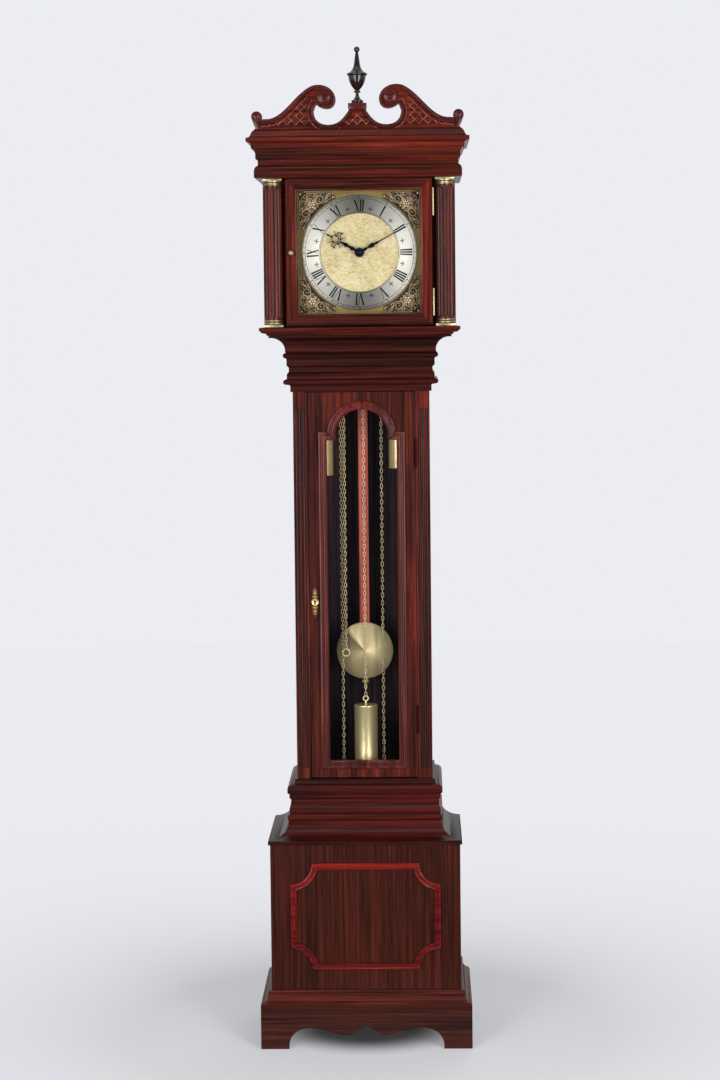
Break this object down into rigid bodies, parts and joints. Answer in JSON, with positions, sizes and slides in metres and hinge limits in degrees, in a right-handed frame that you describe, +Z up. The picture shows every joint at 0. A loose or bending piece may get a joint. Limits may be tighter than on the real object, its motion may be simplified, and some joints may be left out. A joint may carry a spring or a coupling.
{
  "type": "grandfather clock",
  "caption": "Tall wooden longcase clock with a square dial hood, swan-neck pediment, glazed arched trunk door, pendulum, chain-hung weights and a panelled base on bracket feet.",
  "frame": {"origin": "centre of the bounding box's footprint, on the floor", "axes": "+X across the width, to the right as seen from the front; the dial faces -Y and the flat back faces +Y; +Z up"},
  "size_m": [0.448, 0.284, 2.04],
  "materials": {
    "mahogany": "gloss",
    "mahogany_dark": "gloss",
    "mahogany_red": "gloss",
    "turned_dark": "gloss",
    "inner_timber": "matte",
    "polished_brass": "gloss",
    "spun_brass": "satin",
    "plate_brass": "satin",
    "silvered": "satin",
    "gilt": "satin",
    "chain_brass": "satin",
    "blued_steel": "gloss",
    "bronzed": "satin",
    "clear_glass": "gloss"
  },
  "bodies": {
    "case": {"plinth_frame": "mahogany", "plinth_moulding": "mahogany", "base_front": "mahogany_dark", "base_left": "mahogany_dark", "base_right": "mahogany_dark", "base_floor": "inner_timber", "base_panel_moulding": "mahogany_red", "flare_moulding": "mahogany", "trunk_left": "mahogany_dark", "trunk_right": "mahogany_dark", "back_board": "inner_timber", "pilaster_left": "mahogany", "pilaster_right": "mahogany", "throat_moulding": "mahogany", "seat_board": "inner_timber", "front_plate": "plate_brass", "back_plate": "plate_brass", "dial_plate": "plate_brass", "chapter_ring": "silvered", "spandrels": "gilt", "suspension_cock": "plate_brass", "trunk_door_hinges": "bronzed", "chain_left": "chain_brass", "chain_centre": "chain_brass", "chain_right": "chain_brass"},
    "hood": {"hood_sill": "mahogany", "hood_left": "mahogany_dark", "hood_right": "mahogany_dark", "hood_mask": "mahogany_dark", "hood_roof": "inner_timber", "cornice": "mahogany", "pediment": "mahogany", "finial": "turned_dark", "column_left": "mahogany", "column_right": "mahogany", "column_brasses": "polished_brass", "hood_door_hinges": "polished_brass"},
    "hood_door": {"hood_door_frame": "mahogany", "hood_door_glass": "clear_glass", "hood_door_knob": "polished_brass"},
    "trunk_door": {"trunk_door_frame": "mahogany", "trunk_door_moulding": "mahogany_red", "trunk_door_glass": "clear_glass", "escutcheon": "polished_brass"},
    "minute": {"minute_hand": "blued_steel", "hand_nut": "blued_steel"},
    "hour": {"hour_hand": "blued_steel"},
    "pendulum": {"pendulum_rod": "mahogany_red", "pendulum_bob": "spun_brass", "rating_nut": "polished_brass"},
    "anchor": {"anchor": "plate_brass"},
    "weight_left": {"weight_left": "polished_brass"},
    "chain_end_left": {"chain_end_left": "chain_brass"},
    "great_wheel_left": {"great_wheel_left": "plate_brass"},
    "weight_centre": {"weight_centre": "polished_brass"},
    "chain_end_centre": {"chain_end_centre": "chain_brass"},
    "great_wheel_centre": {"great_wheel_centre": "plate_brass"},
    "weight_right": {"weight_right": "polished_brass"},
    "chain_end_right": {"chain_end_right": "chain_brass"},
    "great_wheel_right": {"great_wheel_right": "plate_brass"}
  },
  "joints": [
    {"name": "hood_slide", "type": "slide", "parent": "case", "child": "hood", "axis": [0, -1, 0], "range_m": [0, 0.24]},
    {"name": "hood_door_hinge", "type": "hinge", "parent": "hood", "child": "hood_door", "pos_m": [0.1505, -0.1024, 1.629], "axis": [0, 0, 1], "range_deg": [0, 95]},
    {"name": "trunk_door_hinge", "type": "hinge", "parent": "case", "child": "trunk_door", "pos_m": [0.1105, -0.0608, 0.947], "axis": [0, 0, 1], "range_deg": [0, 110]},
    {"name": "pendulum_swing", "type": "hinge", "parent": "case", "child": "pendulum", "pos_m": [0, 0.064, 1.69], "axis": [0, 1, 0], "range_deg": [-3, 3]},
    {"name": "anchor_rock", "type": "hinge", "parent": "case", "child": "anchor", "pos_m": [0, 0.01, 1.69], "axis": [0, 1, 0], "range_deg": [-3, 3]},
    {"name": "minute_turn", "type": "hinge", "parent": "case", "child": "minute", "pos_m": [0, -0.076, 1.63], "axis": [0, 1, 0], "continuous": true},
    {"name": "hour_turn", "type": "hinge", "parent": "case", "child": "hour", "pos_m": [0, -0.072, 1.63], "axis": [0, 1, 0], "continuous": true},
    {"name": "weight_left_drop", "type": "slide", "parent": "case", "child": "weight_left", "axis": [0, 0, 1], "range_m": [-0.98, 0.02], "deforming": ["chain_left"]},
    {"name": "chain_end_left_rise", "type": "slide", "parent": "case", "child": "chain_end_left", "axis": [0, 0, 1], "range_m": [-0.02, 0.98]},
    {"name": "great_wheel_left_turn", "type": "hinge", "parent": "case", "child": "great_wheel_left", "pos_m": [-0.065, 0.014, 1.545], "axis": [0, 1, 0], "continuous": true},
    {"name": "weight_centre_drop", "type": "slide", "parent": "case", "child": "weight_centre", "axis": [0, 0, 1], "range_m": [-0.34, 0.64], "deforming": ["chain_centre"]},
    {"name": "chain_end_centre_rise", "type": "slide", "parent": "case", "child": "chain_end_centre", "axis": [0, 0, 1], "range_m": [-0.64, 0.34]},
    {"name": "great_wheel_centre_turn", "type": "hinge", "parent": "case", "child": "great_wheel_centre", "pos_m": [-0.018, 0.004, 1.545], "axis": [0, 1, 0], "continuous": true},
    {"name": "weight_right_drop", "type": "slide", "parent": "case", "child": "weight_right", "axis": [0, 0, 1], "range_m": [-0.99, 0.01], "deforming": ["chain_right"]},
    {"name": "chain_end_right_rise", "type": "slide", "parent": "case", "child": "chain_end_right", "axis": [0, 0, 1], "range_m": [-0.01, 0.99]},
    {"name": "great_wheel_right_turn", "type": "hinge", "parent": "case", "child": "great_wheel_right", "pos_m": [0.059, 0.014, 1.545], "axis": [0, 1, 0], "continuous": true}
  ],
  "couplings": [
    {"joint": "anchor_rock", "follows": "pendulum_swing", "ratio": 1},
    {"joint": "hour_turn", "follows": "minute_turn", "ratio": 0.083333},
    {"joint": "chain_end_left_rise", "follows": "weight_left_drop", "ratio": -1},
    {"joint": "great_wheel_left_turn", "follows": "weight_left_drop", "rad_per_m": 50},
    {"joint": "chain_end_centre_rise", "follows": "weight_centre_drop", "ratio": -1},
    {"joint": "great_wheel_centre_turn", "follows": "weight_centre_drop", "rad_per_m": -50},
    {"joint": "chain_end_right_rise", "follows": "weight_right_drop", "ratio": -1},
    {"joint": "great_wheel_right_turn", "follows": "weight_right_drop", "rad_per_m": -50}
  ]
}
